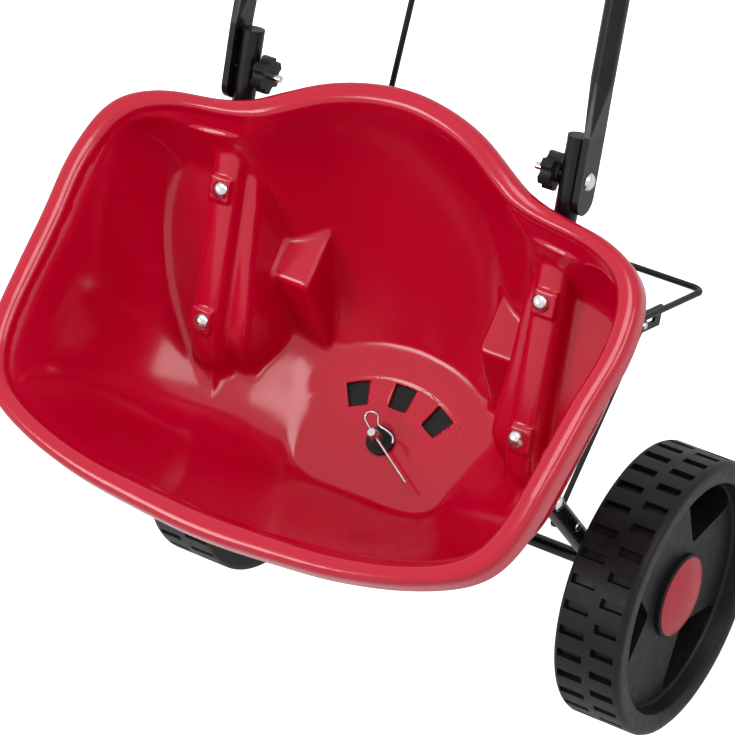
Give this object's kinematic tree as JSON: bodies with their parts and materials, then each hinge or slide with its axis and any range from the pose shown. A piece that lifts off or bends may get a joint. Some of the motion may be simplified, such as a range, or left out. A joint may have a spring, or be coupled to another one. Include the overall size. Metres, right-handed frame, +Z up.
{
  "type": "walk-behind salt spreader",
  "caption": "Push salt spreader: red moulded hopper on a bent-tube frame, treaded wheels, wire stand, folding handle with star knobs, and an impeller geared to the axle.",
  "frame": {"origin": "centre of the footprint on the ground, midway between the front of the hopper lip and the rear of the grip", "axes": "+X along the axle to the user's right as the user pushes, away from -X; +Y back towards the push handle; +Z up"},
  "size_m": [0.5378, 0.9751, 0.9364],
  "materials": {
    "red_plastic": "glossy moulded polypropylene",
    "red_caps": "satin moulded plastic",
    "black_tube": "gloss black powder coat on steel tube",
    "black_wire": "satin black powder coat on steel",
    "wheel_plastic": "fine matt blow-moulded plastic",
    "black_plastic": "satin moulded plastic",
    "bright_bolts": "bright zinc plating",
    "plain_steel": "drawn steel, zinc plated",
    "pale_nylon": "natural nylon",
    "grip_rubber": "soft foam rubber"
  },
  "bodies": {
    "frame": {"hopper": "red_plastic", "frame_tube_right": "black_tube", "frame_tube_left": "black_tube", "tube_caps": "black_plastic", "hopper_bolts": "bright_bolts", "frame_nuts": "bright_bolts", "axle_bushes": "pale_nylon", "gearbox_right": "black_plastic", "gearbox_left": "black_plastic", "gearbox_screws": "bright_bolts", "floor_bush": "black_plastic", "cross_plate": "black_wire", "plate_screws": "bright_bolts", "shutter_guides": "plain_steel", "guide_screws": "bright_bolts", "stand": "black_wire", "slotted_bars": "black_wire", "stand_bolts": "bright_bolts", "brace_rods": "black_wire", "brace_bolts": "bright_bolts"},
    "axle_body": {"axle": "plain_steel", "drive_pin": "plain_steel", "drive_wheel": "wheel_plastic", "drive_wheel_cap": "red_caps", "wheel_washers": "bright_bolts", "cotter_pins": "bright_bolts", "bevel_gear": "pale_nylon", "wheel_spacers": "black_plastic"},
    "free_wheel_body": {"free_wheel": "wheel_plastic", "free_wheel_cap": "red_caps"},
    "impeller_body": {"impeller_shaft": "plain_steel", "pinion": "pale_nylon", "impeller": "black_plastic", "impeller_pin": "plain_steel", "agitator_clip": "bright_bolts"},
    "shutter_body": {"shutter": "black_plastic", "control_rod": "black_wire"},
    "handle": {"handle_tube_right": "black_tube", "handle_tube_left": "black_tube", "handle_bolts": "bright_bolts", "handle_top": "black_tube", "handle_top_bolts": "bright_bolts", "handle_nuts": "bright_bolts", "grip": "grip_rubber", "handle_crossbar": "black_tube", "crossbar_bolts": "bright_bolts", "gauge_plate": "plain_steel", "gauge_bolts": "bright_bolts", "lever_pivot": "bright_bolts"},
    "knob_right_body": {"knob_right": "black_plastic"},
    "knob_left_body": {"knob_left": "black_plastic"},
    "lever_body": {"lever": "black_wire", "lever_grip": "red_caps"}
  },
  "joints": [
    {"name": "axle_spin", "type": "hinge", "parent": "frame", "child": "axle_body", "pos_m": [0, -0.32355, 0.125], "axis": [1, 0, 0], "continuous": true},
    {"name": "free_wheel_spin", "type": "hinge", "parent": "axle_body", "child": "free_wheel_body", "pos_m": [-0.211, -0.32355, 0.125], "axis": [1, 0, 0], "continuous": true},
    {"name": "impeller_spin", "type": "hinge", "parent": "frame", "child": "impeller_body", "pos_m": [0, -0.32355, 0.229], "axis": [0, 0, 1], "continuous": true},
    {"name": "handle_fold", "type": "hinge", "parent": "frame", "child": "handle", "pos_m": [0, -0.11004, 0.5131], "axis": [1, 0, 0], "range_deg": [0, 108]},
    {"name": "knob_right_turn", "type": "hinge", "parent": "handle", "child": "knob_right_body", "pos_m": [0.138, -0.11004, 0.5131], "axis": [1, 0, 0], "continuous": true},
    {"name": "knob_left_turn", "type": "hinge", "parent": "handle", "child": "knob_left_body", "pos_m": [-0.138, -0.11004, 0.5131], "axis": [-1, 0, 0], "continuous": true},
    {"name": "lever_turn", "type": "hinge", "parent": "handle", "child": "lever_body", "pos_m": [0, 0.17059, 0.76087], "axis": [1, 0, 0], "range_deg": [0, 26.27]},
    {"name": "shutter_slide", "type": "slide", "parent": "frame", "child": "shutter_body", "axis": [0, 1, 0], "range_m": [0, 0.02801]}
  ],
  "couplings": [
    {"joint": "impeller_spin", "follows": "axle_spin", "ratio": -3},
    {"joint": "shutter_slide", "follows": "lever_turn", "m_per_rad": 0.061074}
  ]
}
